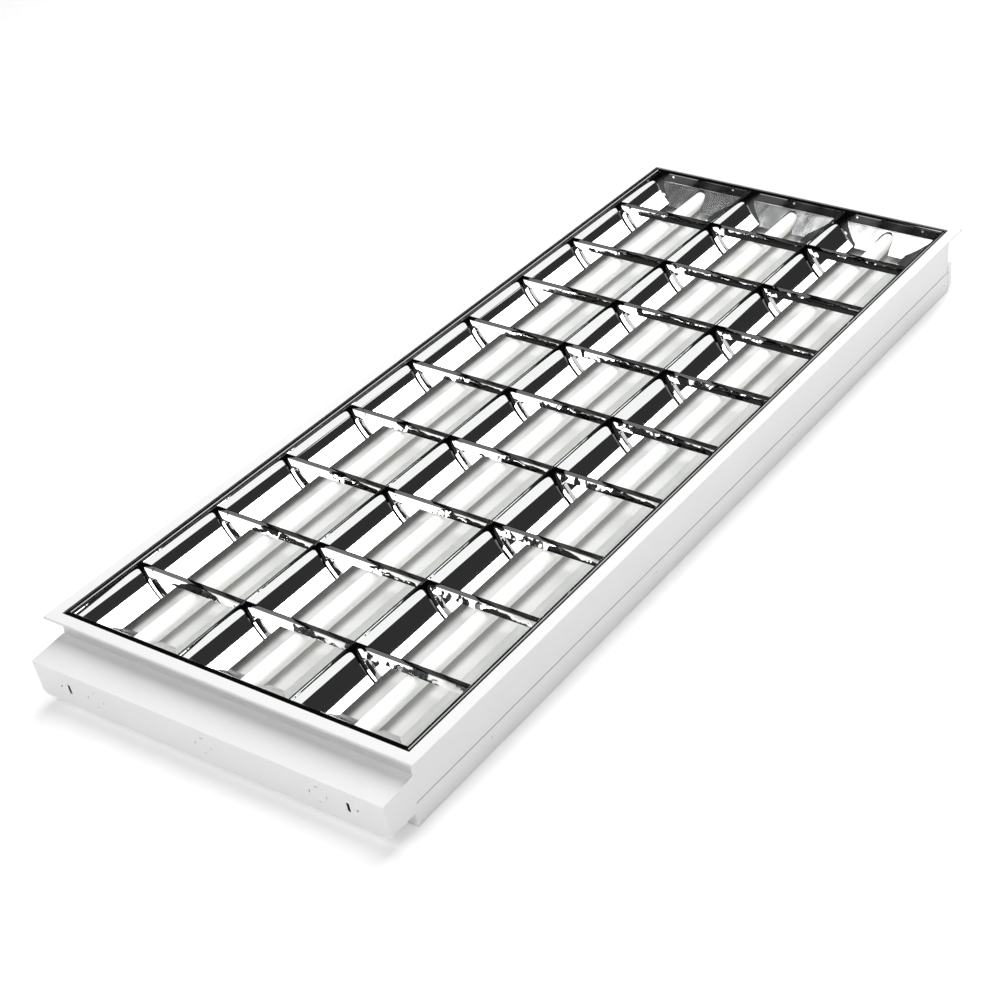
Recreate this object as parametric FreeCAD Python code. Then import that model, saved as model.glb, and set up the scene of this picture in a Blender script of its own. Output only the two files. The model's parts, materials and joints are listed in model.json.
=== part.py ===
import FreeCAD, Part
import math, os

os.makedirs("parts", exist_ok=True)
V = FreeCAD.Vector

# ------------------------------------------------------------------ driving dimensions (mm)
# X across the fitting, Y along it, Z up; the fitting lies on its back, louvre facing up.
W_OUT, L_OUT, H = 597.0, 1548.0, 115.0     # trim flange over all, height over the back
FL = 17.5                                  # width of the trim flange
T = 0.8                                    # body sheet
LIP = 3.8                                  # turned-down outer lip of the flange
XF, YF = W_OUT / 2, L_OUT / 2              # flange outer edge
XO, YO = XF - FL, YF - FL                  # opening edge
WALL = 15.5                                # flange edge to outer face of the walls
XW, YW = XF - WALL, YF - WALL              # outer face of the walls
Z_SEAM = 36.0                              # top of the back tray's upturned sides
TRAY_GAP = 0.1

PITCH = 181.0                              # lamp / column pitch
COLS = (-PITCH, 0.0, PITCH)
Z_LAMP = 80.0                              # lamp axis
LAMP_HALF = 749.5                          # cap face
PIN_LEN, PIN_SPACING, PIN_R = 7.1, 12.7, 1.17
TUBE_R, TUBE_T, CAP_R, CAP_LEN = 12.75, 0.8, 13.0, 9.0

GAP_LOUVRE = 0.9                           # louvre frame to opening
XL, YL = XO - GAP_LOUVRE, YO - GAP_LOUVRE  # louvre frame outer edge
RIM = 8.8                                  # width of the louvre frame rim
Z_LTOP = 111.0                             # divider and blade tops
Z_LBOT = 78.0                              # lower edge of the parabolic sheets
S_BOT = 46.0                               # half opening left over the base plate
S_DIV = 89.3                               # half column at the top, divider side
S_SIDE = XL - RIM - 0.5 - PITCH            # half column at the top, outer side
TS = 0.5                                   # louvre sheet
N_CELLS = 10
BLADE_D, BLADE_TOP, BLADE_BOT = 16.0, 0.7, 5.0

Z_PLATE = 62.0                             # top of the white base plate
X_PLATE = 262.0

HX, HZ = -275.7, 110.4                     # louvre hinge axis
HINGE_Y = (-500.0, 500.0)
CATCH_Y = (-400.0, 400.0)
CATCH_TRAVEL = 2.2

BOX_OUT = 62.3                             # end box beyond the opening edge, top edge
BOX_X = 285.0


# ------------------------------------------------------------------ helpers
def box(x0, x1, y0, y1, z0, z1):
    return Part.makeBox(x1 - x0, y1 - y0, z1 - z0, V(x0, y0, z0))


def cyl(r, p, d, h):
    return Part.makeCylinder(r, h, V(*p), V(*d))


def poly(pts, vec):
    w = Part.makePolygon([V(*p) for p in pts] + [V(*pts[0])])
    return Part.Face(w).extrude(V(*vec))


def fuse(shapes):
    s = shapes[0]
    if len(shapes) > 1:
        s = s.multiFuse(shapes[1:])
    return s.removeSplitter()


def cut(s, tools):
    return s.cut(Part.makeCompound(tools)) if tools else s


def group(shapes):
    out = []
    for s in shapes:
        out += s.Solids
    return Part.makeCompound(out)


def flip_y(s):
    return s.mirror(V(0, 0, 0), V(0, 1, 0))


def flip_x(s):
    return s.mirror(V(0, 0, 0), V(1, 0, 0))


def solid_of(edges, vec):
    return Part.Face(Part.Wire(edges)).extrude(V(*vec))


PIECES = {}


def save(name, shape):
    """keeps a finished piece; every piece is written out at the end"""
    sol = shape.Solids
    assert sol, name
    for q in sol:
        assert q.isValid() and q.Volume > 0, (name, q.Volume)
    PIECES[name] = sol[0] if len(sol) == 1 else Part.makeCompound(sol)


def cut_again(name, tools):
    save(name, PIECES[name].cut(Part.makeCompound(tools)))


def mitre_ring(profile_edges, xo, yo, depth):
    """Frame of constant section with mitred corners.  profile_edges(fn) gives the
    edges of the section; fn maps (n, z) to a point, n measured inwards."""
    sides = []
    for sx in (1, -1):
        e = profile_edges(lambda n, z: V(sx * (xo - n), -yo - 1, z))
        s = solid_of(e, (0, 2 * yo + 2, 0))
        w = poly([(sx * (xo + 1), -yo - 1, -50), (sx * (xo + 1), yo + 1, -50),
                  (sx * (xo - depth), yo - depth, -50), (sx * (xo - depth), -yo + depth, -50)],
                 (0, 0, 250))
        sides.append(s.common(w))
    for sy in (1, -1):
        e = profile_edges(lambda n, z: V(-xo - 1, sy * (yo - n), z))
        s = solid_of(e, (2 * xo + 2, 0, 0))
        w = poly([(-xo - 1, sy * (yo + 1), -50), (xo + 1, sy * (yo + 1), -50),
                  (xo - depth, sy * (yo - depth), -50), (-xo + depth, sy * (yo - depth), -50)],
                 (0, 0, 250))
        sides.append(s.common(w))
    return fuse(sides)


def lines(pts):
    return [Part.makeLine(pts[i], pts[(i + 1) % len(pts)]) for i in range(len(pts))]


# ------------------------------------------------------------------ housing
def frame_profile(fn):
    r = 1.0
    a = [fn(0, H - LIP), fn(0, H - r)]
    mid = fn(r * (1 - math.cos(math.pi / 4)), H - r + r * math.sin(math.pi / 4))
    b = [fn(r, H), fn(FL, H), fn(FL, H - T), fn(WALL + T, H - T), fn(WALL + T, 10.0),
         fn(WALL, 10.0), fn(WALL, H - T), fn(T, H - T), fn(T, H - LIP)]
    e = [Part.makeLine(a[0], a[1]), Part.Arc(a[1], mid, b[0]).toShape()]
    e += [Part.makeLine(b[i], b[i + 1]) for i in range(len(b) - 1)]
    e.append(Part.makeLine(b[-1], a[0]))
    return e


frame = mitre_ring(frame_profile, XF, YF, FL)
wins = [box(-40, 40, -YW - 2, -YW + 3, 14.0, 30.0)]     # wiring window to the connection box
save("body_frame", cut(frame, wins))

# back tray: floor with upturned sides lapping over the walls
tx, ty = XW + TRAY_GAP, YW + TRAY_GAP
tray = box(-tx - T, tx + T, -ty - T, ty + T, 0, Z_SEAM).cut(box(-tx, tx, -ty, ty, T, Z_SEAM + 1))
vert = [e for e in tray.Edges if abs(e.Length - Z_SEAM) < 1e-6 and abs(abs(e.CenterOfMass.x) - tx - T) < 1e-6]
tray = tray.makeFillet(2.0, vert)
floor_edges = [e for e in tray.Edges if abs(e.BoundBox.ZMax) < 1e-6 and e.Length > 100]
tray = tray.makeFillet(0.7, floor_edges)
holes = []
for sx in (1, -1):
    for y, r in ((YW - 14.0, 1.9), (YW - 26.5, 1.5)):
        holes.append(cyl(r, (sx * (tx - 3), y, 17.5), (sx, 0, 0), 8))
GROMMET = (0.0, -640.0)
holes.append(cyl(10.4, (GROMMET[0], GROMMET[1], -1), (0, 0, 1), 4))
SCREWS = [(sx * (X_PLATE + 7.0), y) for sx in (1, -1) for y in (-690.0, -230.0, 230.0, 690.0)]
holes += [cyl(1.75, (x, y, -1), (0, 0, 1), 4) for x, y in SCREWS]
holes.append(box(-41, 41, -YW - 5, -YW + 3, 13.0, 31.0))
save("back_tray", cut(tray, holes))

# rivets joining tray and walls, heads inside, tails flush in the tray side
riv, rhole = [], []
for sx in (1, -1):
    for y in (-600.0, -200.0, 200.0, 600.0):
        riv.append(cyl(1.6, (sx * (XW + T + 0.1), y, 24.0), (-sx, 0, 0), 2 * T + TRAY_GAP + 0.05).fuse(
            cyl(3.2, (sx * (XW - T - 0.02), y, 24.0), (-sx, 0, 0), 1.0)))
save("wall_rivets", group(riv))


rv = [cyl(1.65, (sx * (XW - 3), y, 24.0), (sx, 0, 0), 6)
      for sx in (1, -1) for y in (-600.0, -200.0, 200.0, 600.0)]
cut_again("back_tray", rv)
cut_again("body_frame", rv)


# connection box beyond the flange
def end_box():
    y_in, y_lo = YW + 0.05, YW + TRAY_GAP + T + 0.1
    yt, yb = YO + BOX_OUT, YO + BOX_OUT - 8.5
    zt0, zt1, zb = 82.5, 78.0, 19.5

    def prism(d):
        # side view, moved inwards by d
        p = [(y_in - (5 if d else 0), zt0 - d), (yt - 1.06 * d, zt1 - d), (yb - d, zb + d)]
        if d:
            p += [(y_in - 5, zb + d)]
        else:
            p += [(y_lo, zb), (y_lo, Z_SEAM + 0.4), (y_in, Z_SEAM + 0.4)]
        a = poly([(-BOX_X - 5, y, z) for y, z in p], (2 * BOX_X + 10, 0, 0))
        x = BOX_X - d
        c = 6.0
        q = [(-x, 100), (-x, zb + d + c), (-x + c, zb + d), (x - c, zb + d), (x, zb + d + c), (x, 100)]
        b = poly([(u, 700, w) for u, w in q], (0, 200, 0))
        return a.common(b)

    s = prism(0).cut(prism(T))
    tools = []
    ym = yt - 12
    for sx in (1, -1):                     # hanger slots and the small hole beside each
        x = sx * 227.0
        sl = box(x - 2.35, x + 2.35, ym, ym + 20, 42.2, 57.8)
        sl = sl.makeFillet(1.2, [e for e in sl.Edges if abs(e.Length - 20) < 1e-6])
        tools.append(sl)
        tools.append(cyl(1.5, (sx * 241.0, ym, 50.5), (0, 1, 0), 20))
    for cx in (-181.0, 0.0, 181.0):        # knock-outs, each cut round by four short slits
        ring = cyl(13.8, (cx, ym, 50.5), (0, 1, 0), 20).cut(cyl(12.6, (cx, ym, 50.5), (0, 1, 0), 20))
        for k in range(4):
            a = k * math.pi / 2
            dx, dz = math.cos(a), math.sin(a)
            w = [(cx, ym, 50.5)] + [(cx + 30 * math.cos(a + t), ym, 50.5 + 30 * math.sin(a + t))
                                     for t in (-0.19, 0.19)]
            tools.append(ring.common(poly(w, (0, 20, 0))))
    return s.cut(Part.makeCompound(tools))


save("connection_box", flip_y(end_box()))

# low cover over the far end of the tray
y0 = YW + TRAY_GAP + T + 0.1


def cover_prism(d):
    p = [(YW + 0.05 - (5 if d else 0), 49.0 - d), (YW + 13.5 - d, 49.0 - d), (YW + 13.5 - d, 9.0 + 0.5 * d),
         (YW + 9.0 - 0.5 * d, 3.0 + d), (y0 - (5 if d else 0), 3.0 + d)]
    if not d:
        p += [(y0, Z_SEAM + 0.4), (YW + 0.05, Z_SEAM + 0.4)]
    xx = XW + 0.9 - d
    return poly([(-xx, y, z) for y, z in p], (2 * xx, 0, 0))


save("end_cover", cover_prism(0).cut(cover_prism(T)))

# base plate: white channel over the gear, open at the ends
pl = box(-X_PLATE, X_PLATE, -YW + T + 0.4, YW - T - 0.4, T + 0.05, Z_PLATE).cut(
    box(-X_PLATE + T, X_PLATE - T, -YW, YW, 0, Z_PLATE - T))
feet = [box(-X_PLATE - 14, -X_PLATE + T, -YW + 12, YW - 12, T + 0.05, 2 * T + 0.05),
        box(X_PLATE - T, X_PLATE + 14, -YW + 12, YW - 12, T + 0.05, 2 * T + 0.05)]
pl = fuse([pl] + feet)
pl = cut(pl, [cyl(1.75, (x, y, -1), (0, 0, 1), 5) for x, y in SCREWS] +
         [box(cx - 8.1, cx + 8.1, *sorted((sg * (LAMP_HALF + 0.9), sg * (YW + 5))), Z_PLATE - 3, Z_PLATE + 1)
          for cx in COLS for sg in (1, -1)])
save("base_plate", pl)
scr = []
for x, y in SCREWS:
    s = cyl(1.7, (x, y, 0.1), (0, 0, 1), 2.0).fuse(cyl(4.2, (x, y, 2 * T + 0.08), (0, 0, 1), 0.9))
    hexa = [(x + 3.6 * math.cos(k * math.pi / 3), y + 3.6 * math.sin(k * math.pi / 3), 2 * T + 0.9) for k in range(6)]
    scr.append(s.fuse(poly(hexa, (0, 0, 2.4))).removeSplitter())
save("plate_screws", group(scr))

# ------------------------------------------------------------------ lamps and holders
ROTOR_R, CAV_R, HOLD_R = 8.2, 8.26, 10.0
Y_H0, Y_H1 = LAMP_HALF + 0.5, YW - T - 0.2      # front part of the holder
holders = []
for cx in COLS:
    f = box(cx - HOLD_R, cx + HOLD_R, Y_H0, Y_H1, Z_PLATE + 0.05, Z_LAMP).fuse(
        cyl(HOLD_R, (cx, Y_H0, Z_LAMP), (0, 1, 0), Y_H1 - Y_H0))
    # foot through the base plate, with a barb on each side under it
    f = f.fuse(box(cx - 8.0, cx + 8.0, Y_H0 + 1.0, Y_H1, 52.0, 64.0))
    f = f.fuse(box(cx - 9.0, cx + 9.0, Y_H0 + 1.0, Y_H1, 58.0, Z_PLATE - T - 0.1)).removeSplitter()
    f = f.cut(cyl(CAV_R, (cx, Y_H0 - 1, Z_LAMP), (0, 1, 0), Y_H1 - Y_H0 + 0.5))
    f = f.cut(box(cx - 1.5, cx + 1.5, Y_H0 - 1, Y_H1 - 0.5, Z_LAMP, Z_LAMP + 20))
    # wire entries in the foot
    f = cut(f, [cyl(1.3, (cx + d, Y_H0 + 4.2, 50), (0, 0, 1), 10) for d in (-4, 4)])
    holders.append(f)
hold_far = group(holders)
save("lampholders_far", hold_far)
save("lampholders_near", flip_y(hold_far))

for i, cx in enumerate(COLS):
    tube = cyl(TUBE_R, (cx, -LAMP_HALF + 2.0, Z_LAMP), (0, 1, 0), 2 * LAMP_HALF - 4.0).cut(
        cyl(TUBE_R - TUBE_T, (cx, -LAMP_HALF + 2.8, Z_LAMP), (0, 1, 0), 2 * LAMP_HALF - 5.6))
    save("lamp_%d_tube" % (i + 1), tube)
    cap = cyl(CAP_R, (cx, LAMP_HALF - CAP_LEN, Z_LAMP), (0, 1, 0), CAP_LEN)
    rim = [e for e in cap.Edges if abs(e.CenterOfMass.y - LAMP_HALF) < 1e-6 and e.Length > 20]
    cap = cap.makeFillet(1.0, rim)
    cap = cap.cut(cyl(TUBE_R + 0.02, (cx, LAMP_HALF - CAP_LEN - 1, Z_LAMP), (0, 1, 0), CAP_LEN - 0.9))
    pins = []
    for d in (-PIN_SPACING / 2, PIN_SPACING / 2):
        cap = cap.cut(cyl(PIN_R + 0.02, (cx + d, LAMP_HALF - 4, Z_LAMP), (0, 1, 0), 8))
        p = cyl(PIN_R, (cx + d, LAMP_HALF - 1.6, Z_LAMP), (0, 1, 0), PIN_LEN + 1.6)
        tip = [e for e in p.Edges if abs(e.CenterOfMass.y - LAMP_HALF - PIN_LEN) < 1e-6]
        pins.append(p.makeFillet(0.5, tip))
    save("lamp_%d_caps" % (i + 1), group([cap, flip_y(cap)]))
    pg = group(pins)
    save("lamp_%d_pins" % (i + 1), group([pg, flip_y(pg)]))
    ro = cyl(ROTOR_R, (cx, Y_H0 + 0.4, Z_LAMP), (0, 1, 0), Y_H1 - Y_H0 - 1.3)
    ro = ro.cut(box(cx - 20, cx + 20, Y_H0 - 1, Y_H1 + 1, Z_LAMP - PIN_R - 0.06, Z_LAMP + PIN_R + 0.06).cut(
        cyl(3.0, (cx, Y_H0 - 2, Z_LAMP), (0, 1, 0), 20)))
    # web behind the slot keeps the rotor in one piece
    save("rotors_%d" % (i + 1), group([ro, flip_y(ro)]))

# ------------------------------------------------------------------ louvre
Z_RIM = 114.8                              # crown of the rim


def rim_profile(fn):
    zs, R, w = 110.0, 5.5, RIM
    zc = Z_RIM - R
    t = T

    def arc(r, n0, n1):
        z0 = zc + math.sqrt(r * r - (w / 2 - n0) ** 2)
        return Part.Arc(fn(n0, z0), fn(w / 2, zc + r), fn(n1, z0)).toShape(), z0

    a1, z1 = arc(R, 0.0, w)
    a2, z2 = arc(R - t, t, w - t)
    e = [Part.makeLine(fn(0, 101.0), fn(0, z1)), a1,
         Part.makeLine(fn(w, z1), fn(w, 106.0)), Part.makeLine(fn(w, 106.0), fn(w - t, 106.0)),
         Part.makeLine(fn(w - t, 106.0), fn(w - t, z2)), a2,
         Part.makeLine(fn(t, z2), fn(t, 101.0)), Part.makeLine(fn(t, 101.0), fn(0, 101.0))]
    return e


rimf = mitre_ring(rim_profile, XL, YL, RIM)
tools = []
for y in HINGE_Y:                          # skirt notch at each hinge
    tools.append(box(-XL - 1, -XL + T + 0.3, y - 6, y + 6, 100, 111.5))
for y in CATCH_Y:                          # tongue and finger-tab slots at each catch
    tools.append(box(XL - T - 0.3, XL + 1, y - 6.2, y + 6.2, 102.4, 104.0))
    tools.append(box(272.15, 275.95, y - 3.2, y + 3.2, 109.0, 117))
save("louvre_frame", cut(rimf, tools))


def s_of(z, top, zb=Z_LBOT):
    t = (z - zb) / (Z_LTOP - zb)
    return S_BOT + (top - S_BOT) * (1.8 * t - 0.8 * t * t)


def curve_pts(top, off, zlo, zhi, n=9):
    """points of the parabolic sheet, moved away from the lamp by off"""
    out = []
    for k in range(n):
        z = zlo + (zhi - zlo) * k / (n - 1)
        d = (s_of(z + 0.01, top) - s_of(z - 0.01, top)) / 0.02
        m = math.hypot(1, d)
        out.append((s_of(z, top) + off / m, z - off * d / m))
    return out


def spline(pts):
    b = Part.BSplineCurve()
    b.interpolate([V(*p) for p in pts])
    return b.toShape()


def chain(pts):
    """narrow flat strips, as a sheet bent on a press takes its curve"""
    return [Part.makeLine(V(*a), V(*b)) for a, b in zip(pts, pts[1:])]


# end reflectors fall from (y_v, Z_BAND) to (Y_EB, Z_EB)
Y_V, Z_BAND = YL - RIM - TS, 96.0
Y_EB, Z_EB = 702.0, 74.0
YEND = Y_V - 0.1                           # ends of the long sheets
slope = (Z_BAND - Z_EB) / (Y_V - Y_EB)


def end_trim(s):
    """keeps the long sheets clear of the sloping end reflectors"""
    t = []
    for sg in (1, -1):
        p = [(Y_EB - 6, Z_EB - 10), (Y_EB - 6, Z_EB + TS * 1.2), (Y_V + 5, Z_BAND + TS * 1.2 + 5 * slope), (Y_V + 5, Z_EB - 10)]
        p[1] = (Y_EB - 6, Z_EB + TS * 1.2 - 6 * slope)
        t.append(poly([(-300, sg * y, z) for y, z in p], (600, 0, 0)))
    return s.cut(Part.makeCompound(t))


def blade_rows():
    inner = 2 * (Y_V)
    first = 0.86                           # end cells are shorter
    step = inner / (N_CELLS - 2 + 2 * first)
    return [-Y_V + first * step + k * step for k in range(N_CELLS - 1)]


ROWS = blade_rows()
slots = [(-0.45, 0.45, y) for y in ROWS]

# dividers
o = curve_pts(S_DIV, 0, Z_LBOT, Z_LTOP, 17)
i_ = curve_pts(S_DIV, TS, Z_LBOT, Z_LTOP - 0.9, 17)
h = PITCH / 2


def divider(xc):
    y0 = -YEND
    L = [(xc - (h - s), y0, z) for s, z in o]
    R = [(xc + (h - s), y0, z) for s, z in o]
    Li = [(xc - max(h - s, 0.25), y0, z) for s, z in i_]
    Ri = [(xc + max(h - s, 0.25), y0, z) for s, z in i_]
    e = chain(L + R[::-1] + Ri + Li[::-1] + L[:1])
    s = solid_of(e, (0, 2 * YEND, 0))
    s = cut(s, [box(xc - 45, xc + 45, y - 0.45, y + 0.45, 97.9, 108.1) for y in ROWS])
    return end_trim(s)


save("divider_left", divider(-h))
save("divider_right", divider(h))


def side_sheet():
    xc, y0 = PITCH, -YEND
    top = S_SIDE
    a = [(xc + s, y0, z) for s, z in curve_pts(top, 0, Z_LBOT, Z_LTOP - 0.6, 17)]
    b = [(xc + s, y0, z) for s, z in curve_pts(top, TS, Z_LBOT, 105.6, 15)]
    xo = XL - RIM
    zt = Z_LTOP - 0.6
    e = chain(a + [(xo, y0, zt), (xo, y0, 105.8)] + b[::-1] + a[:1])
    s = solid_of(e, (0, 2 * YEND, 0))
    s = cut(s, [box(xc + 60, xo + 1, y - 0.45, y + 0.45, 97.9, 105.2) for y in ROWS])
    return end_trim(s)


right = side_sheet()
save("side_reflector_right", right)
left = flip_x(right)
save("side_reflector_left", left)


# end reflectors: upright band, then a sloping sheet with an arch over each lamp
def end_sheet():
    y1 = YL - RIM
    x1 = XL - RIM - 0.6
    k = TS * 1.15
    p = [(y1, 110.4), (y1 - TS, 110.4), (y1 - TS, Z_BAND), (Y_EB, Z_EB), (Y_EB, Z_EB - k),
         (y1, Z_BAND - k)]
    p[5] = (y1, Z_BAND - k + TS * slope)
    s = poly([(-x1, y, z) for y, z in p], (2 * x1, 0, 0))
    tools = []
    for cx in COLS:
        r = 15.0
        tools.append(cyl(r, (cx, 690, Z_LAMP), (0, 1, 0), 70))
        tools.append(poly([(cx - r, 690, Z_LAMP), (cx + r, 690, Z_LAMP), (cx + r + 4, 690, 70), (cx - r - 4, 690, 70)],
                          (0, 70, 0)))
    return s.cut(Part.makeCompound(tools))


es = end_sheet()
save("end_reflector_far", es)
save("end_reflector_near", flip_y(es))


# cross blades: folded vee with hollowed flanks, three lengths in a row
def vee(y):
    def hw(z):
        return BLADE_TOP + (BLADE_BOT - BLADE_TOP) * ((Z_LTOP - 0.2 - z) / BLADE_D) ** 1.7
    zt, zb = Z_LTOP - 0.2, Z_LTOP - 0.2 - BLADE_D
    n = 7
    zs = [zb + (zt - zb) * k / (n - 1) for k in range(n)]
    zi = [zb + (zt - 0.6 - zb) * k / (n - 1) for k in range(n)]
    F = [(-300, y - hw(z), z) for z in zs]
    B = [(-300, y + hw(z), z) for z in zs]
    Fi = [(-300, y - hw(z) + 0.4, z) for z in zi]
    Bi = [(-300, y + hw(z) - 0.4, z) for z in zi]
    e = [spline(F), Part.makeLine(V(*F[-1]), V(*B[-1])), spline(B[::-1]), Part.makeLine(V(*B[0]), V(*Bi[0])),
         spline(Bi), Part.makeLine(V(*Bi[-1]), V(*Fi[-1])), spline(Fi[::-1]), Part.makeLine(V(*Fi[0]), V(*F[0]))]
    return solid_of(Part.__sortEdges__(e), (600, 0, 0))


def vee_full(y):
    def hw(z):
        return BLADE_TOP + (BLADE_BOT - BLADE_TOP) * ((Z_LTOP - 0.2 - z) / BLADE_D) ** 1.7
    zt, zb = Z_LTOP - 0.2, Z_LTOP - 0.2 - BLADE_D
    zs = [zb + (zt - zb) * k / 6 for k in range(7)]
    F = [(-300, y - hw(z) + 0.1, z) for z in zs]
    B = [(-300, y + hw(z) - 0.1, z) for z in zs]
    e = [spline(F), Part.makeLine(V(*F[-1]), V(*B[-1])), spline(B[::-1]), Part.makeLine(V(*B[0]), V(*F[0]))]
    return solid_of(Part.__sortEdges__(e), (600, 0, 0))


def column(cx, tl, tr, g, y):
    """space of one column between its two sheets, pulled in by g on both sides"""
    n = 9
    zs = [92 + (113 - 92) * k / (n - 1) for k in range(n)]
    L = [(cx - s_of(z, tl) + g, y - 8, z) for z in zs]
    R = [(cx + s_of(z, tr) - g, y - 8, z) for z in zs]
    e = [spline(L), Part.makeLine(V(*L[-1]), V(*R[-1])), spline(R[::-1]), Part.makeLine(V(*R[0]), V(*L[0]))]
    return solid_of(Part.__sortEdges__(e), (0, 16, 0))


base_y = 0.0
vv = vee(base_y)
row = []
for cx, tl, tr in ((COLS[0], S_SIDE, S_DIV), (COLS[1], S_DIV, S_DIV), (COLS[2], S_DIV, S_SIDE)):
    b = vv.common(column(cx, tl, tr, 0.25, base_y))
    for sg, tp in ((-1, tl), (1, tr)):
        z1 = 108.0 if tp == S_DIV else 105.1
        xa, xb = sorted((cx + sg * 70.0, cx + sg * 100.0))
        tab = box(xa, xb, base_y - 0.35, base_y + 0.35, 98.0, z1).common(column(cx, tl, tr, -0.9, base_y))
        web = vee_full(base_y).common(box(*sorted((cx + sg * 70.0, cx + sg * 71.2)), -9, 9, 90, 110.5))
        b = b.fuse(web).fuse(tab)
    row.append(b.removeSplitter())
row = group(row)
for k, y in enumerate(ROWS):
    s = row.copy()
    s.translate(V(0, y, 0))
    save("cross_blade_%d" % (k + 1), s)

# rivets fixing the end sheets and side sheets under the rim
riv = []
yr = YL - RIM
for sy in (1, -1):
    for x in (-240.0, -120.0, 0.0, 120.0, 240.0):
        riv.append(cyl(1.2, (x, sy * (yr - TS - 0.02), 108.0), (0, sy, 0), TS + T + 0.3).fuse(
            cyl(2.0, (x, sy * (yr - TS - 0.62), 108.0), (0, sy, 0), 0.6)))
save("louvre_rivets", group(riv))
rh = [cyl(1.25, (x, sy * (yr - 3), 108.0), (0, sy, 0), 6) for sy in (1, -1) for x in (-240.0, -120.0, 0.0, 120.0, 240.0)]
for nme in ("louvre_frame", "end_reflector_far", "end_reflector_near"):
    cut_again(nme, rh)

# hinges: knuckle under the rim, pin and bracket on the wall
kn, pn, br = [], [], []
for y in HINGE_Y:
    k = box(HX - 2.1, HX + 2.1, y - 2.4, y + 2.4, HZ - 2.1, 113.45).cut(cyl(1.31, (HX, y - 5, HZ), (0, 1, 0), 10))
    kn.append(k)
    pn.append(cyl(1.25, (HX, y - 4.7, HZ), (0, 1, 0), 9.4))
    ears = []
    for sg in (-1, 1):
        ya, yb = sorted((y + sg * 2.9, y + sg * 4.1))
        e1 = cyl(2.3, (HX, ya, HZ), (0, 1, 0), 1.2)
        e1 = e1.fuse(box(HX - 0.8, HX + 2.2, ya, yb, 97.0, HZ))
        e1 = e1.fuse(box(-XW + T, HX + 2.2, ya, yb, 92.0, 98.8))
        ears.append(e1)
    pad = box(-XW + T, -XW + 2 * T, y - 12, y + 12, 90.0, 98.8)
    b = fuse([pad] + ears)
    b = b.cut(cyl(1.27, (HX, y - 6, HZ), (0, 1, 0), 12))
    br.append(b)
save("hinge_knuckles", group(kn))
save("hinge_pins", group(pn))
save("hinge_brackets", group(br))

# catches: sliding bolt under the rim, guide block, ledge on the wall
gd, st = [], []
for name, y in (("near", CATCH_Y[0]), ("far", CATCH_Y[1])):
    bolt = box(273.0, 281.7, y - 6.0, y + 6.0, 102.6, 103.8)
    bolt = bolt.fuse(box(274.5, 275.7, y - 3.0, y + 3.0, 103.0, 115.0)).removeSplitter()
    save("catch_bolt_%s" % name, bolt)
    g = box(276.8, XL - T, y - 9, y + 9, 101.2, 105.4).cut(box(270, 290, y - 6.06, y + 6.06, 102.54, 103.86))
    gd.append(g)
    st.append(fuse([box(XW - 2 * T, XW - T, y - 9, y + 9, 104.0, 110.0), box(280.4, XW - T, y - 9, y + 9, 104.0, 104.8)]))
save("catch_guides", group(gd))
save("catch_ledges", group(st))

rest = []
for sy in (1, -1):
    for x in (-200.0, 200.0):
        ya, yb = sorted((sy * (YL - 2.0), sy * (YW - T)))
        yc, yd = sorted((sy * (YW - 2 * T), sy * (YW - T)))
        rest.append(fuse([box(x - 12, x + 12, ya, yb, 100.0, 100.8), box(x - 12, x + 12, yc, yd, 93.0, 100.8)]))
save("louvre_rests", group(rest))

# ------------------------------------------------------------------ gear under the base plate
ZF = T + 0.02


def ballast(x, y0, L):
    c = box(x - 15, x + 15, y0 + 9, y0 + L - 9, ZF, ZF + 27)
    c = c.makeFillet(2.0, [e for e in c.Edges if abs(e.Length - (L - 18)) < 1e-6 and e.CenterOfMass.z > 10])
    ft = [box(x - 15, x + 15, y0, y0 + 10, ZF, ZF + 1.0), box(x - 15, x + 15, y0 + L - 10, y0 + L, ZF, ZF + 1.0)]
    c = fuse([c] + ft)
    c = cut(c, [cyl(2.2, (x, yy, -1), (0, 0, 1), 5) for yy in (y0 + 4, y0 + L - 4)])
    t = []
    for ya, sg in ((y0 + 9, -1), (y0 + L - 9, 1)):
        w = 4.4
        bl = box(x - 13, x + 13, *sorted((ya, ya + sg * w)), ZF + 8, ZF + 20)
        bl = cut(bl, [cyl(1.1, (x - 10 + 5 * q, ya + sg * 1.5, ZF + 14), (0, sg, 0), 8) for q in range(5)])
        t.append(bl)
    return c, group(t)


c, t = ballast(-90.5, -190.0, 360.0)
save("ballast_twin_case", c)
save("ballast_twin_terminals", t)
c, t = ballast(90.5, -120.0, 240.0)
save("ballast_single_case", c)
save("ballast_single_terminals", t)

YT, ZT = -786.0, 20.32                      # terminal block on the floor of the box
tb = box(-22, 22, YT - 8, YT + 8, ZT, ZT + 19.2)
tb = cut(tb, [cyl(2.4, (x, YT, ZT + 13.2), (0, 0, 1), 10) for x in (-14, 0, 14)] +
         [cyl(1.7, (x, YT - 9, ZT + 7.2), (0, 1, 0), 20) for x in (-14, 0, 14)])
save("terminal_block", tb)
ts = []
for x in (-14, 0, 14):
    s = cyl(2.3, (x, YT, ZT + 13.22), (0, 0, 1), 4.0)
    ts.append(s.cut(box(x - 3, x + 3, YT - 0.4, YT + 0.4, ZT + 16.4, ZT + 19)))
save("terminal_screws", group(ts))

ex, ey = 60.0, YT
es_ = fuse([cyl(2.0, (ex, ey, ZT), (0, 0, 1), 12), cyl(5.0, (ex, ey, ZT), (0, 0, 1), 1.0),
            poly([(ex + 4.0 * math.cos(k * math.pi / 3), ey + 4.0 * math.sin(k * math.pi / 3), ZT + 1.6) for k in range(6)],
                 (0, 0, 3.2))])
save("earth_stud", es_)

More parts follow.
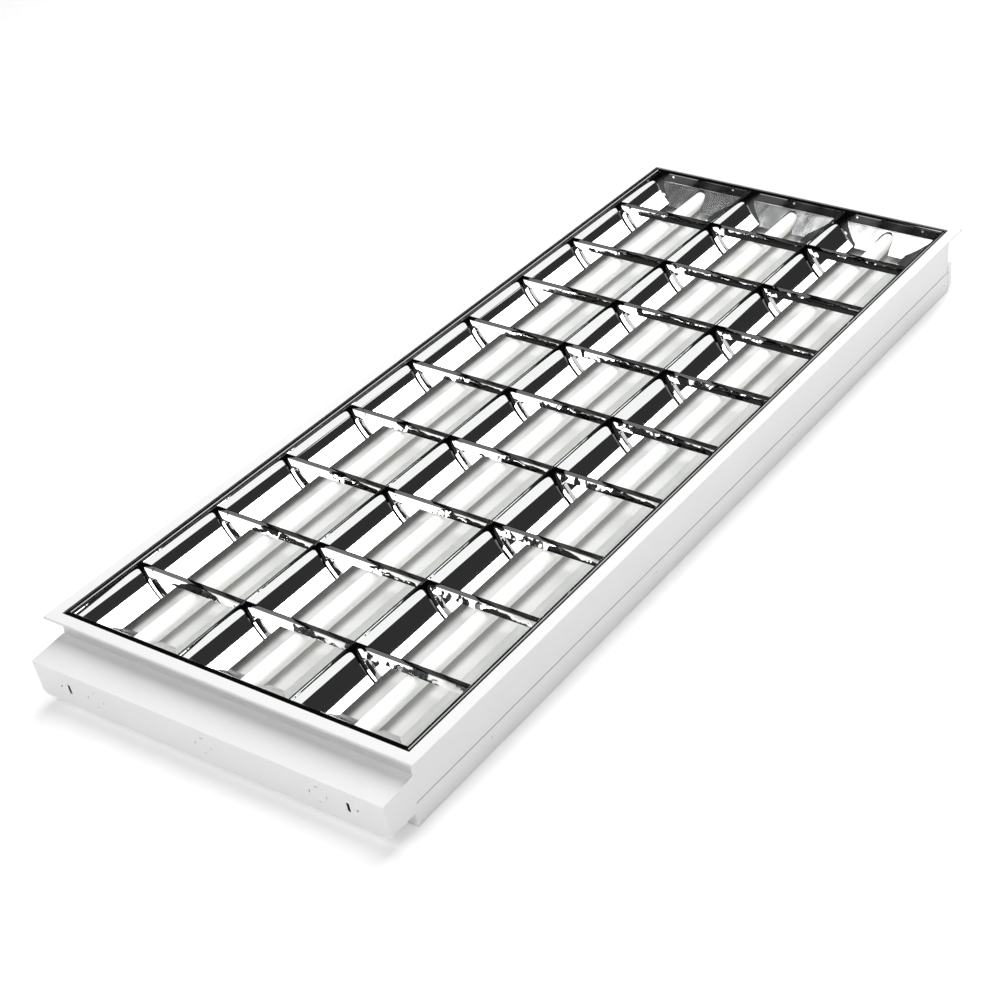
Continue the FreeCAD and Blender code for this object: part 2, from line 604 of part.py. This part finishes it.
gx, gy = GROMMET
gr = cyl(13.0, (gx, gy, ZF + 0.05), (0, 0, 1), 2.0).fuse(cyl(10.3, (gx, gy, 0.05), (0, 0, 1), 2.0))
gr = gr.removeSplitter().cut(cyl(6.5, (gx, gy, -1), (0, 0, 1), 1.6))
gr = gr.cut(cyl(6.5, (gx, gy, 1.4), (0, 0, 1), 4))      # 0.8 mm membrane left in the middle
save("entry_grommet", gr)


# wiring: straight runs joined by tangent arcs
def wire(pts, rad, r):
    """round cord through the corner points, each corner a tangent arc of radius r"""
    P = [V(*p) for p in pts]
    edges, last = [], P[0]
    for k in range(1, len(P) - 1):
        a, b, c = P[k - 1], P[k], P[k + 1]
        u = (a - b).normalize()
        w = (c - b).normalize()
        ang = u.getAngle(w)
        d = r / math.tan(ang / 2)
        p0, p1 = b + u * d, b + w * d
        bis = (u + w).normalize()
        m = b + bis * (r / math.sin(ang / 2) - r)
        if (p0 - last).Length > 1e-6:
            edges.append(Part.makeLine(last, p0))
        edges.append(Part.Arc(p0, m, p1).toShape())
        last = p1
    edges.append(Part.makeLine(last, P[-1]))
    path = Part.Wire(edges)
    d0 = (P[1] - P[0]).normalize()
    prof = Part.Wire(Part.makeCircle(rad, P[0], d0))
    return path.makePipeShell([prof], True, False)


mw = []
for x, tx_, ty_ in ((-14, -100.5, -186.2), (14, 80.5, -116.2)):
    mw.append(wire([(x, YT + 8.5, ZT + 7.2), (x, YW * -1 + 4, 22.0), (x, -700.0, 8.0), (x, -560.0, 8.0),
                    (tx_, -420.0, 8.0), (tx_, -330.0, 8.0),
                    (tx_, -250.0, ZF + 14.0), (tx_, ty_, ZF + 14.0)], 1.1, 30.0))
save("wiring_mains", group(mw))


def lamp_wires(ends):
    out = []
    for cx, bx, by in ends:
        out.append(wire([(cx + 4, Y_H0 + 4.2, 56.0), (cx + 4, Y_H0 + 4.2, 20.0), (cx + 4, 520.0, 20.0),
                         (bx, 400.0, 20.0), (bx, 300.0, 20.0), (bx, by + 40.0, ZF + 14.0), (bx, by, ZF + 14.0)], 1.1, 12.0))
    return out


fw = lamp_wires([(COLS[0], -100.5, 166.4), (COLS[1], -80.5, 166.4), (COLS[2], 90.5, 116.4)])
save("wiring_lamps_far", group(fw))
nw = lamp_wires([(COLS[0], -90.5, 186.2), (COLS[1], -85.5, 186.2), (COLS[2], 100.5, 116.4)])
save("wiring_lamps_near", group([flip_y(s) for s in nw]))

for name, shape in PIECES.items():
    shape.exportStep("parts/%s.step" % name)
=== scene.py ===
import bpy, bmesh, math, json
from mathutils import Matrix, Vector


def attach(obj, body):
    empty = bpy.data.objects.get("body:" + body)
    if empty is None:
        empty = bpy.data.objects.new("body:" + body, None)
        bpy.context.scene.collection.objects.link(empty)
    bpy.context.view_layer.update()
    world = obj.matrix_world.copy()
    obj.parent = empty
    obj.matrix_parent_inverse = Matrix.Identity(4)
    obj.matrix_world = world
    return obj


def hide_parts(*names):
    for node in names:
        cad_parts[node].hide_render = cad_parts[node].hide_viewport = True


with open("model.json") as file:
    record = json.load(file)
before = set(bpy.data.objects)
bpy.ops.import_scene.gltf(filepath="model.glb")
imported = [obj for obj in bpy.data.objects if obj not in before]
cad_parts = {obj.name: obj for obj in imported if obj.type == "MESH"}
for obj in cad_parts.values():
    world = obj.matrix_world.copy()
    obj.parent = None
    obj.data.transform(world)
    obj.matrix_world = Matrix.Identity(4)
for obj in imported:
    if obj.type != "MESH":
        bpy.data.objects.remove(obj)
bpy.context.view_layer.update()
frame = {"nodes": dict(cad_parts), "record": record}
nodes = frame["nodes"]


# ------------------------------------------------------------------ materials
def new_mat(name):
    m = bpy.data.materials.new(name)
    m.use_nodes = True
    nt = m.node_tree
    b = nt.nodes["Principled BSDF"]
    return m, nt, b


def noise(nt, scale, detail=3.0, rough=0.5, stretch=(1, 1, 1), x=-900, y=0):
    tc = nt.nodes.new("ShaderNodeTexCoord")
    mp = nt.nodes.new("ShaderNodeMapping")
    mp.inputs["Scale"].default_value = stretch
    n = nt.nodes.new("ShaderNodeTexNoise")
    n.inputs["Scale"].default_value = scale
    n.inputs["Detail"].default_value = detail
    n.inputs["Roughness"].default_value = rough
    tc.location, mp.location, n.location = (x - 400, y), (x - 200, y), (x, y)
    nt.links.new(tc.outputs["Object"], mp.inputs["Vector"])
    nt.links.new(mp.outputs["Vector"], n.inputs["Vector"])
    return n


def ramp(nt, src, stops, x=-600, y=0):
    r = nt.nodes.new("ShaderNodeValToRGB")
    r.location = (x, y)
    e = r.color_ramp.elements
    e[0].position, e[0].color = stops[0][0], stops[0][1]
    e[1].position, e[1].color = stops[-1][0], stops[-1][1]
    for p, c in stops[1:-1]:
        q = e.new(p)
        q.color = c
    nt.links.new(src, r.inputs["Fac"])
    return r


def span(nt, src, lo, hi, y=-300):
    r = nt.nodes.new("ShaderNodeMapRange")
    r.location = (-600, y)
    r.inputs["To Min"].default_value = lo
    r.inputs["To Max"].default_value = hi
    nt.links.new(src, r.inputs["Value"])
    return r


def bump(nt, b, src, strength, dist, prev=None, y=-600):
    k = nt.nodes.new("ShaderNodeBump")
    k.location = (-300, y)
    k.inputs["Strength"].default_value = strength
    k.inputs["Distance"].default_value = dist
    nt.links.new(src, k.inputs["Height"])
    if prev is not None:
        nt.links.new(prev.outputs["Normal"], k.inputs["Normal"])
    nt.links.new(k.outputs["Normal"], b.inputs["Normal"])
    return k


def c4(r, g, b):
    return (r, g, b, 1.0)


def powder_white(name, base, rough=0.42):
    m, nt, b = new_mat(name)
    big = noise(nt, 6.0, 3.0, y=300)
    r = ramp(nt, big.outputs["Fac"], [(0.3, c4(*[v * 0.985 for v in base])), (0.7, c4(*base))], y=300)
    nt.links.new(r.outputs["Color"], b.inputs["Base Color"])
    fine = noise(nt, 420.0, 2.0, y=-100)
    s = span(nt, fine.outputs["Fac"], rough - 0.05, rough + 0.06)
    nt.links.new(s.outputs["Result"], b.inputs["Roughness"])
    peel = noise(nt, 900.0, 2.0, y=-600)
    bump(nt, b, peel.outputs["Fac"], 0.05, 0.0004)
    b.inputs["Coat Weight"].default_value = 0.12
    b.inputs["Coat Roughness"].default_value = 0.25
    return m


def bright_mirror(name, base, rough=0.03, wave=0.03, size=16.0):
    m, nt, b = new_mat(name)
    b.inputs["Metallic"].default_value = 1.0
    big = noise(nt, 9.0, 2.0, y=300)
    r = ramp(nt, big.outputs["Fac"], [(0.3, c4(*[v * 0.97 for v in base])), (0.7, c4(*base))], y=300)
    nt.links.new(r.outputs["Color"], b.inputs["Base Color"])
    fine = noise(nt, 60.0, 4.0, stretch=(1, 0.15, 1), y=-100)
    s = span(nt, fine.outputs["Fac"], rough * 0.6, rough * 1.5)
    nt.links.new(s.outputs["Result"], b.inputs["Roughness"])
    w = noise(nt, size, 1.5, y=-600)
    bump(nt, b, w.outputs["Fac"], wave, 0.002)
    return m


def opal_tube(name):
    m, nt, b = new_mat(name)
    n = noise(nt, 14.0, 2.0, y=300)
    r = ramp(nt, n.outputs["Fac"], [(0.3, c4(0.93, 0.95, 0.91)), (0.7, c4(0.96, 0.965, 0.94))], y=300)
    nt.links.new(r.outputs["Color"], b.inputs["Base Color"])
    f = noise(nt, 300.0, 2.0, y=-100)
    s = span(nt, f.outputs["Fac"], 0.16, 0.24)
    nt.links.new(s.outputs["Result"], b.inputs["Roughness"])
    # painted light: a faint emission brightens the tube surface
    b.inputs["Emission Color"].default_value = c4(1.0, 1.0, 0.96)
    b.inputs["Emission Strength"].default_value = 0.15
    return m


def metal(name, base, rough, streak=(1, 1, 1)):
    m, nt, b = new_mat(name)
    b.inputs["Metallic"].default_value = 1.0
    n = noise(nt, 160.0, 4.0, stretch=streak, y=300)
    r = ramp(nt, n.outputs["Fac"], [(0.3, c4(*[v * 0.86 for v in base])), (0.7, c4(*base))], y=300)
    nt.links.new(r.outputs["Color"], b.inputs["Base Color"])
    s = span(nt, n.outputs["Fac"], rough - 0.08, rough + 0.1)
    nt.links.new(s.outputs["Result"], b.inputs["Roughness"])
    bump(nt, b, n.outputs["Fac"], 0.08, 0.0003)
    return m


def plastic(name, base, rough):
    m, nt, b = new_mat(name)
    n = noise(nt, 30.0, 3.0, y=300)
    r = ramp(nt, n.outputs["Fac"], [(0.3, c4(*[v * 0.95 for v in base])), (0.7, c4(*base))], y=300)
    nt.links.new(r.outputs["Color"], b.inputs["Base Color"])
    f = noise(nt, 700.0, 2.0, y=-100)
    s = span(nt, f.outputs["Fac"], rough - 0.06, rough + 0.08)
    nt.links.new(s.outputs["Result"], b.inputs["Roughness"])
    bump(nt, b, f.outputs["Fac"], 0.12, 0.0003)
    return m


MATS = {
    "white_steel": powder_white("white_steel", (0.84, 0.845, 0.84)),
    "mirror_aluminium": bright_mirror("mirror_aluminium", (0.91, 0.915, 0.92)),
    "lamp_glass": opal_tube("lamp_glass"),
    "lamp_cap": metal("lamp_cap", (0.72, 0.72, 0.73), 0.32, (1, 8, 1)),
    "contact_brass": metal("contact_brass", (0.78, 0.62, 0.34), 0.28),
    "white_plastic": plastic("white_plastic", (0.85, 0.85, 0.82), 0.35),
    "zinc_steel": metal("zinc_steel", (0.60, 0.61, 0.62), 0.34),
    "ballast_steel": powder_white("ballast_steel", (0.72, 0.73, 0.74), 0.5),
    "grey_plastic": plastic("grey_plastic", (0.16, 0.165, 0.175), 0.5),
    "cord_sleeve": plastic("cord_sleeve", (0.80, 0.80, 0.77), 0.45),
    "black_rubber": plastic("black_rubber", (0.02, 0.02, 0.02), 0.6),
}
MATS["mirror_blades"] = bright_mirror("mirror_blades", (0.90, 0.905, 0.91), 0.035, 0.55, 42.0)
MATS["mirror_ends"] = bright_mirror("mirror_ends", (0.80, 0.81, 0.815), 0.22, 0.30, 26.0)
# painted reflection: the rim gets a near-black base colour standing in for the black reflections on its rolled crown
MATS["rim_painted_dark_reflection"] = bright_mirror("rim_painted_dark_reflection", (0.10, 0.10, 0.10), 0.06, 0.05, 30.0)
# painted shade: a darker copy of the white steel (0.66) for the base plate, so the inside of the louvre reads shaded
MATS["white_painted_shade"] = powder_white("white_painted_shade", (0.66, 0.665, 0.655), 0.5)


def painted_reflection_band(mat, z0, z1, painted_reflection_dark):
    """painted reflection: the base colour blends to a dark colour between heights z0 and z1 and stays dark above (z in
    metres on the part), standing in for the dark reflection on the crest of a blade or band
    """
    nt = mat.node_tree
    b = nt.nodes["Principled BSDF"]
    src = b.inputs["Base Color"].links[0].from_socket
    tc = nt.nodes.new("ShaderNodeTexCoord")
    sp = nt.nodes.new("ShaderNodeSeparateXYZ")
    mr = nt.nodes.new("ShaderNodeMapRange")
    mr.inputs["From Min"].default_value = z0
    mr.inputs["From Max"].default_value = z1
    mx = nt.nodes.new("ShaderNodeMix")
    mx.data_type = "RGBA"
    mx.inputs["B"].default_value = painted_reflection_dark
    nt.links.new(tc.outputs["Object"], sp.inputs["Vector"])
    nt.links.new(sp.outputs["Z"], mr.inputs["Value"])
    nt.links.new(mr.outputs["Result"], mx.inputs["Factor"])
    nt.links.new(src, mx.inputs["A"])
    nt.links.new(mx.outputs["Result"], b.inputs["Base Color"])


# painted reflection: the blade crests and the upper band of the end reflectors get a near-black base colour in place of
# dark reflections
painted_reflection_band(MATS["mirror_blades"], 0.1035, 0.1050, (0.05, 0.05, 0.05, 1))
painted_reflection_band(MATS["mirror_ends"], 0.0962, 0.0968, (0.03, 0.03, 0.03, 1))
slot_of = {s["node"]: s["material_slot"] for s in frame["record"]["subparts"]}
for name, obj in nodes.items():
    m = MATS[slot_of[name]]
    if name.startswith("cross_blade"):
        m = MATS["mirror_blades"]
    # painted reflection: the louvre frame takes the near-black rim material
    elif name == "louvre_frame":
        m = MATS["rim_painted_dark_reflection"]
    # painted shade: the base plate takes the darker copy of the white steel
    elif name == "base_plate":
        m = MATS["white_painted_shade"]
    elif name.startswith("end_reflector"):
        m = MATS["mirror_ends"]
    for sl in obj.material_slots:
        sl.material = m

# ------------------------------------------------------------------ long mirror sheets, rolled smooth
S_BOT, S_DIV, S_SIDE, SHEET = 46.0, 89.3, 89.8, 0.5
ZB, ZT, HALF, Y_END = 78.0, 111.0, 90.5, 746.2
SLOPE = 22.0 / 44.3


def half_width(z, top):
    t = (z - ZB) / (ZT - ZB)
    return S_BOT + (top - S_BOT) * (1.8 * t - 0.8 * t * t)


def curve(top, off, zlo, zhi, n=40):
    out = []
    for k in range(n):
        z = zlo + (zhi - zlo) * k / (n - 1)
        d = (half_width(z + 0.01, top) - half_width(z - 0.01, top)) / 0.02
        q = math.hypot(1, d)
        out.append((half_width(z, top) + off / q, z - off * d / q))
    return out


def end_y(z):
    return min(Y_END, 702.0 + (z - 74.6) / SLOPE)


def sheet(name, ring, caps, node):
    """one long folded sheet: the ring of section points runs from end to end, the ends follow the sloping reflectors"""
    n = len(ring)
    vs, fs = [], []
    for sg in (-1, 1):
        for x, z in ring:
            vs.append((x / 1000, sg * end_y(z) / 1000, z / 1000))
    for k in range(n):
        a, b = k, (k + 1) % n
        fs.append((a, b, n + b, n + a))
    for c in caps:
        fs.append(tuple(c[::-1]))
        fs.append(tuple(n + i for i in c))
    me = bpy.data.meshes.new(name)
    me.from_pydata(vs, [], fs)
    bm = bmesh.new()
    bm.from_mesh(me)
    bmesh.ops.recalc_face_normals(bm, faces=bm.faces)
    bm.to_mesh(me)
    bm.free()
    for pl in me.polygons:
        pl.use_smooth = True
    me.set_sharp_from_angle(angle=math.radians(25))
    o = bpy.data.objects.new(name, me)
    bpy.context.collection.objects.link(o)
    me.materials.append(MATS["mirror_aluminium"])
    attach(o, "louvre")
    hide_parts(node)


for tag, xc in (("left", -HALF), ("right", HALF)):
    o_ = curve(S_DIV, 0, ZB, ZT)
    i_ = curve(S_DIV, SHEET, ZB, ZT - 0.9)
    L = [(xc - (HALF - s), z) for s, z in o_]
    R = [(xc + (HALF - s), z) for s, z in o_]
    Li = [(xc - max(HALF - s, 0.25), z) for s, z in i_]
    Ri = [(xc + max(HALF - s, 0.25), z) for s, z in i_]
    n = len(L)
    ring = L + R[::-1] + Ri + Li[::-1]
    # index of each list's point k in the ring
    iL = list(range(n))
    iR = [2 * n - 1 - k for k in range(n)]
    iRi = [2 * n + k for k in range(n)]
    iLi = [4 * n - 1 - k for k in range(n)]
    caps = [(iL[k], iL[k + 1], iLi[k + 1], iLi[k]) for k in range(n - 1)]
    caps += [(iR[k + 1], iR[k], iRi[k], iRi[k + 1]) for k in range(n - 1)]
    caps.append((iL[-1], iR[-1], iRi[-1], iLi[-1]))
    sheet("divider_sheet_" + tag, ring, caps, "divider_" + tag)

for tag, sg in (("left", -1), ("right", 1)):
    a = [(sg * (181.0 + s), z) for s, z in curve(S_SIDE, 0, ZB, ZT - 0.6)]
    b = [(sg * (181.0 + s), z) for s, z in curve(S_SIDE, SHEET, ZB, 105.6)]
    n = len(a)
    xo = sg * 271.3
    ring = a + [(xo, ZT - 0.6), (xo, 105.8)] + b[::-1]
    ib = [2 * n + 1 - k for k in range(n)]
    caps = [(k, k + 1, ib[k + 1], ib[k]) for k in range(n - 1)]
    caps.append((n - 1, n, n + 1, ib[-1]))
    sheet("side_sheet_" + tag, ring, caps, "side_reflector_" + tag)

# ------------------------------------------------------------------ camera
Rw = ((0.83374771, 0.54891697, -0.05962302), (0.26371187, -0.49075196, -0.83043276), (-0.48509875, 0.67664811, -0.55391925))
C = Vector((1.529209, -2.198559, 1.719255))
F_PX, CX, CY = 2107.277, 540.0, 500.0
rot = Matrix(Rw).transposed() @ Matrix(((1, 0, 0), (0, -1, 0), (0, 0, -1)))
cd = bpy.data.cameras.new("camera")
cam = bpy.data.objects.new("camera", cd)
bpy.context.collection.objects.link(cam)
cam.matrix_world = Matrix.Translation(C) @ rot.to_4x4()
cd.sensor_width = 36.0
cd.lens = F_PX / 1000.0 * 36.0
cd.shift_x = -(CX - 500.0) / 1000.0
cd.shift_y = (CY - 500.0) / 1000.0
cd.clip_start, cd.clip_end = 0.05, 100.0
bpy.context.scene.camera = cam
bpy.context.scene.view_settings.view_transform = "Standard"
bpy.context.scene.view_settings.look = "None"

# ------------------------------------------------------------------ floor and light
me = bpy.data.meshes.new("floor")
s = 14.0
me.from_pydata([(-s, -s, -0.0005), (s, -s, -0.0005), (s, s, -0.0005), (-s, s, -0.0005)], [], [(0, 1, 2, 3)])
floor = bpy.data.objects.new("floor", me)
bpy.context.collection.objects.link(floor)
m, nt, b = new_mat("floor")
n = noise(nt, 2.0, 2.0, y=300)
r = ramp(nt, n.outputs["Fac"], [(0.3, c4(0.93, 0.93, 0.93)), (0.7, c4(0.94, 0.94, 0.94))], y=300)
nt.links.new(r.outputs["Color"], b.inputs["Base Color"])
b.inputs["Roughness"].default_value = 0.9
b.inputs["Emission Color"].default_value = c4(1, 1, 1)
b.inputs["Emission Strength"].default_value = 0.22
me.materials.append(m)


def area(name, loc, target, size, size_y, power):
    ld = bpy.data.lights.new(name, "AREA")
    ld.shape = "RECTANGLE"
    ld.size, ld.size_y = size, size_y
    ld.energy = power
    o = bpy.data.objects.new(name, ld)
    bpy.context.collection.objects.link(o)
    d = (Vector(target) - Vector(loc)).normalized()
    o.matrix_world = Matrix.Translation(loc) @ d.to_track_quat("-Z", "Y").to_matrix().to_4x4()
    return o


area("top_soft", (-0.1, 2.2, 3.4), (-0.1, 2.2, 0), 1.9, 6.6, 215.0)
area("front_top_soft", (0.5, -3.4, 3.1), (0.0, -0.3, 0), 3.0, 2.2, 68.0)
area("back_right_soft", (7.0, 7.0, 3.2), (0.0, 0.0, 0.6), 5.4, 6.6, 110.0)
area("right_soft", (5.0, -0.6, 1.0), (0, 0, 0), 2.4, 1.0, 14.0)
area("left_soft", (-5.0, -1.2, 1.4), (0, 0, 0), 2.6, 1.2, 8.0)

w = bpy.data.worlds.new("studio")
bpy.context.scene.world = w
w.use_nodes = True
bg = w.node_tree.nodes["Background"]
bg.inputs["Color"].default_value = (0.03, 0.03, 0.03, 1)
bg.inputs["Strength"].default_value = 1.0
